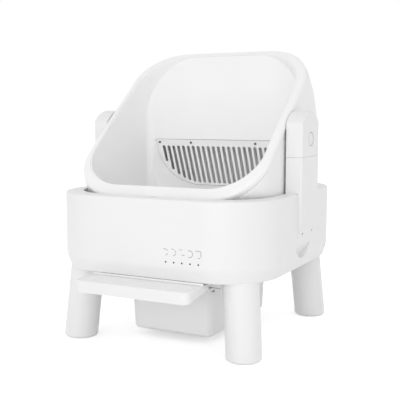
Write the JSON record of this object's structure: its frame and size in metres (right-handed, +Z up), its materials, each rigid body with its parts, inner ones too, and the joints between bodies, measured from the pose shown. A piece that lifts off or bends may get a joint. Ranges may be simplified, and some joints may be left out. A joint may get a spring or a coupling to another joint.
{
  "type": "automatic litter box",
  "caption": "Open-top self-cleaning litter box: a tilting drum with a sieve between two side towers, on a tub with splayed legs, a front step and a slide-out waste bin.",
  "frame": {"origin": "on the floor, under the middle of the whole object's bounding box", "axes": "+Z up, -Y towards the front with the step and the bin's pull, +X to the side with the touch keys and the gearmotor"},
  "size_m": [0.558, 0.6166, 0.681],
  "materials": {
    "shell_white": "satin moulded ABS, off-white",
    "drum_white": "fine matte moulded PP, off-white",
    "lip_white": "satin moulded ABS, off-white",
    "bin_grey": "matte moulded PP, light grey",
    "tread_grey": "ribbed soft-touch plastic, light grey",
    "foot_rubber": "moulded rubber, grey",
    "screw_steel": "zinc-plated steel",
    "gear_pom": "acetal, natural",
    "bush_pom": "acetal, natural",
    "motor_metal": "dark painted can",
    "board_green": "solder-masked circuit board",
    "light_pipe": "clear moulded light pipe, unlit",
    "magnet_metal": "nickel-plated magnet",
    "inlet_black": "black moulded socket",
    "button_white": "satin moulded ABS, pale"
  },
  "bodies": {
    "root": {"tub_shell": "shell_white", "funnel_liner": "drum_white", "base_pan": "drum_white", "pan_screws": "screw_steel", "leg_front_left": "shell_white", "leg_front_right": "shell_white", "leg_rear_left": "shell_white", "leg_rear_right": "shell_white", "foot_plugs": "foot_rubber", "leg_bolts": "screw_steel", "step_frame": "shell_white", "step_tread": "tread_grey", "step_screws": "screw_steel", "bush_left": "bush_pom", "bush_right": "bush_pom", "tower_post_left": "shell_white", "tower_post_right": "shell_white", "tower_cap_left": "shell_white", "tower_cap_right": "shell_white", "tower_screws": "screw_steel", "bin_rail_left": "shell_white", "bin_rail_right": "shell_white", "rail_screws": "screw_steel", "gearmotor": "motor_metal", "motor_bracket": "screw_steel", "home_sensor": "board_green", "control_board": "board_green", "status_lights": "light_pipe", "power_inlet": "inlet_black"},
    "drum": {"drum_shell": "drum_white", "drum_bowl": "drum_white", "drum_lip": "lip_white", "sieve_panel": "drum_white", "sieve_screws": "screw_steel", "lip_tab": "lip_white", "trunnion_left": "bush_pom", "trunnion_right": "bush_pom", "trunnion_screws": "screw_steel", "drive_gear": "gear_pom", "home_magnet": "magnet_metal"},
    "pinion": {"motor_pinion": "gear_pom"},
    "bin": {"waste_bin": "bin_grey", "bag_ring": "bin_grey"},
    "button_left": {"release_button_left": "button_white"},
    "button_right": {"release_button_right": "button_white"}
  },
  "joints": [
    {"name": "drum_tilt", "type": "hinge", "parent": "root", "child": "drum", "pos_m": [0, 0.03575, 0.466], "axis": [-1, 0, 0], "range_deg": [0, 220]},
    {"name": "pinion_spin", "type": "hinge", "parent": "root", "child": "pinion", "pos_m": [0.2519, 0.03575, 0.4177], "axis": [-1, 0, 0], "range_deg": [-661, 1]},
    {"name": "bin_slide", "type": "slide", "parent": "root", "child": "bin", "axis": [0, -1, 0], "range_m": [0, 0.26]},
    {"name": "button_left_press", "type": "slide", "parent": "root", "child": "button_left", "axis": [1, 0, 0], "range_m": [0, 0.0035], "stiffness_N_per_m": 600, "springref_m": -0.004},
    {"name": "button_right_press", "type": "slide", "parent": "root", "child": "button_right", "axis": [-1, 0, 0], "range_m": [0, 0.0035], "stiffness_N_per_m": 600, "springref_m": -0.004}
  ],
  "couplings": [
    {"joint": "pinion_spin", "follows": "drum_tilt", "ratio": -3}
  ]
}
